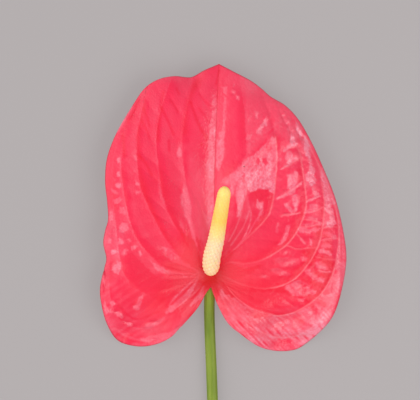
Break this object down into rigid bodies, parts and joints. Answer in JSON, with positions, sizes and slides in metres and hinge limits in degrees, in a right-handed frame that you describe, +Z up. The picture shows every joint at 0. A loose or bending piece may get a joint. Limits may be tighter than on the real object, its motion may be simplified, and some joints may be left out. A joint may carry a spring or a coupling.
{
  "type": "cut anthurium stem",
  "caption": "Cut anthurium lying on its back: waxy red heart-shaped spathe, cream and yellow spadix and a long bare green stem.",
  "frame": {"origin": "on the surface it lies on, under the middle of the whole cut flower", "axes": "+Y along the stem from the cut end to the bloom's tip, +Z up out of the spathe's face, +X to the right of the bloom seen from above"},
  "size_m": [0.1236, 0.5066, 0.0473],
  "materials": {
    "stem": "smooth satin green skin",
    "spathe": "waxy gloss, quilted between sunken veins",
    "spadix": "pebbled florets, cream at the base and yellow at the tip"
  },
  "bodies": {
    "root": {"stem": "stem", "spathe": "spathe", "spadix": "spadix"}
  },
  "joints": []
}
